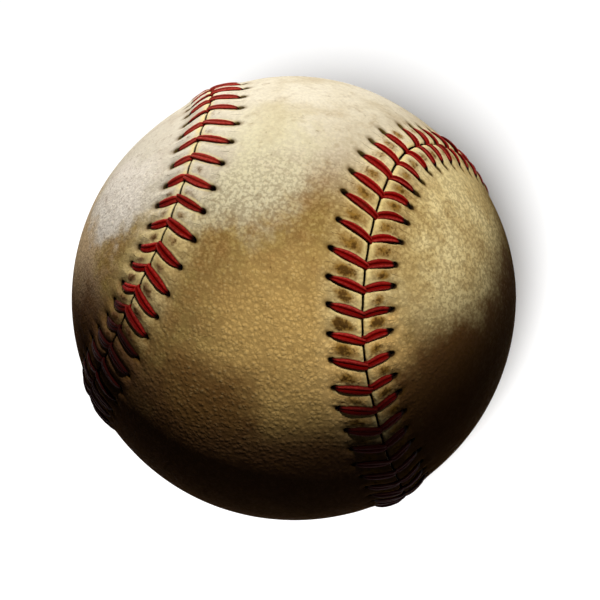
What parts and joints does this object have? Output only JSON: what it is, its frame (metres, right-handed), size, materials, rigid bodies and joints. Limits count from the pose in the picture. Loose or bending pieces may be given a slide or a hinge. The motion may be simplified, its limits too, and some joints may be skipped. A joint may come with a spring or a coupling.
{
  "type": "baseball",
  "caption": "Worn leather-covered baseball: cushioned core, wound yarn, and a panelled cover closed by a raised seam of red chevron stitches.",
  "frame": {"origin": "centre of the ball", "axes": "+Z out through the waist of cover panel A and -Z through the waist of cover panel B; the XZ and YZ planes are the seam curve's two mirror planes, with the ends of panel A round +Y and -Y and the ends of panel B round +X and -X"},
  "size_m": [0.0744, 0.0744, 0.0746],
  "materials": {
    "cork": "matte",
    "black_rubber": "matte",
    "red_rubber": "matte",
    "grey_wool": "matte",
    "white_wool": "matte",
    "cotton": "matte",
    "cement": "satin",
    "leather": "satin",
    "thread": "satin"
  },
  "bodies": {
    "root": {"cork_core": "cork", "inner_shell_upper": "black_rubber", "inner_shell_lower": "black_rubber", "shell_gasket": "red_rubber", "red_rubber_layer": "red_rubber", "first_winding": "grey_wool", "second_winding": "white_wool", "third_winding": "grey_wool", "finish_winding": "cotton", "cement_coat": "cement", "cover_panel_a": "leather", "cover_panel_b": "leather", "stitch_thread_one": "thread", "stitch_thread_two": "thread"}
  },
  "joints": []
}
